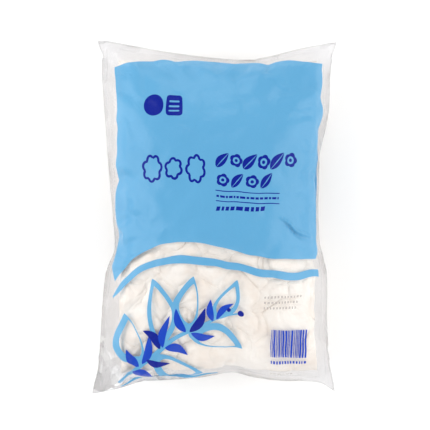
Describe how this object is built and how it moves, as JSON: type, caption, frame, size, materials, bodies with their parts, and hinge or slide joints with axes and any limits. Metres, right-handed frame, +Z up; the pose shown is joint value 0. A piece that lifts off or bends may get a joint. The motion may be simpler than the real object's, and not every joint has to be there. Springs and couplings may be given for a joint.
{
  "type": "bag of cotton balls",
  "caption": "Soft round cotton balls packed in a sealed pillow bag of clear film with a pale blue printed front, lying on its back.",
  "frame": {"origin": "under the middle of the bag's outline, on the surface that the bag lies on", "axes": "+Z up through the printed front, +Y towards the bag's top, +X to the right of the print"},
  "size_m": [0.2012, 0.292, 0.0692],
  "materials": {
    "clear_film": "thin clear film with a soft gloss, printed pale blue on its front",
    "cotton": "soft matt off-white cotton fibre"
  },
  "bodies": {
    "root": {"bag_film": "clear_film", "cotton_stack_01": "cotton", "cotton_stack_02": "cotton", "cotton_stack_03": "cotton", "cotton_stack_04": "cotton", "cotton_stack_05": "cotton", "cotton_stack_06": "cotton", "cotton_stack_07": "cotton", "cotton_stack_08": "cotton", "cotton_stack_09": "cotton", "cotton_stack_10": "cotton", "cotton_stack_11": "cotton", "cotton_stack_12": "cotton", "cotton_stack_13": "cotton", "cotton_stack_14": "cotton", "cotton_stack_15": "cotton", "cotton_stack_16": "cotton", "cotton_stack_17": "cotton", "cotton_stack_18": "cotton", "cotton_stack_19": "cotton", "cotton_stack_20": "cotton", "cotton_stack_21": "cotton", "cotton_stack_22": "cotton", "cotton_stack_23": "cotton", "cotton_stack_24": "cotton", "cotton_stack_25": "cotton", "cotton_stack_26": "cotton", "cotton_stack_27": "cotton", "cotton_stack_28": "cotton", "cotton_stack_29": "cotton", "cotton_stack_30": "cotton", "cotton_stack_31": "cotton", "cotton_stack_32": "cotton", "cotton_stack_33": "cotton", "cotton_stack_34": "cotton", "cotton_stack_35": "cotton", "cotton_stack_36": "cotton", "cotton_stack_37": "cotton", "cotton_stack_38": "cotton", "cotton_stack_39": "cotton", "cotton_stack_40": "cotton", "cotton_stack_41": "cotton", "cotton_stack_42": "cotton", "cotton_stack_43": "cotton", "cotton_stack_44": "cotton", "cotton_stack_45": "cotton", "cotton_stack_46": "cotton", "cotton_stack_47": "cotton", "cotton_stack_48": "cotton", "cotton_stack_49": "cotton", "cotton_stack_50": "cotton", "cotton_stack_51": "cotton", "cotton_stack_52": "cotton", "cotton_stack_53": "cotton", "cotton_stack_54": "cotton", "cotton_stack_55": "cotton"}
  },
  "joints": []
}
